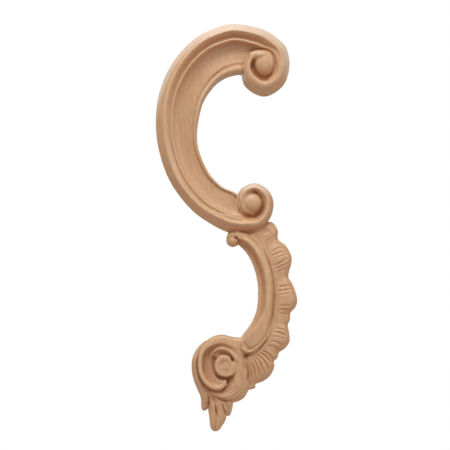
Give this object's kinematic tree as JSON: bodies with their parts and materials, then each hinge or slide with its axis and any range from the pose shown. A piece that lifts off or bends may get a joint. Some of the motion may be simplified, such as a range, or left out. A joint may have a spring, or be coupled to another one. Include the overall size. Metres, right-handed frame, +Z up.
{
  "type": "wood applique",
  "caption": "Flat-backed carved wood applique: a C-scroll with volutes above a crescent with a fluted shell margin, a lower volute and a leaf tip.",
  "frame": {"origin": "on the flat back, at the waist where the C-scroll meets the crescent", "axes": "+Z up along the length of the carving, +Y out of the flat back towards what it is fixed to, the carved front faces -Y"},
  "size_m": [0.1034, 0.017, 0.2976],
  "materials": {
    "carved_wood": "bare, finely sanded pale beech"
  },
  "bodies": {
    "root": {"scroll_applique": "carved_wood"}
  },
  "joints": []
}
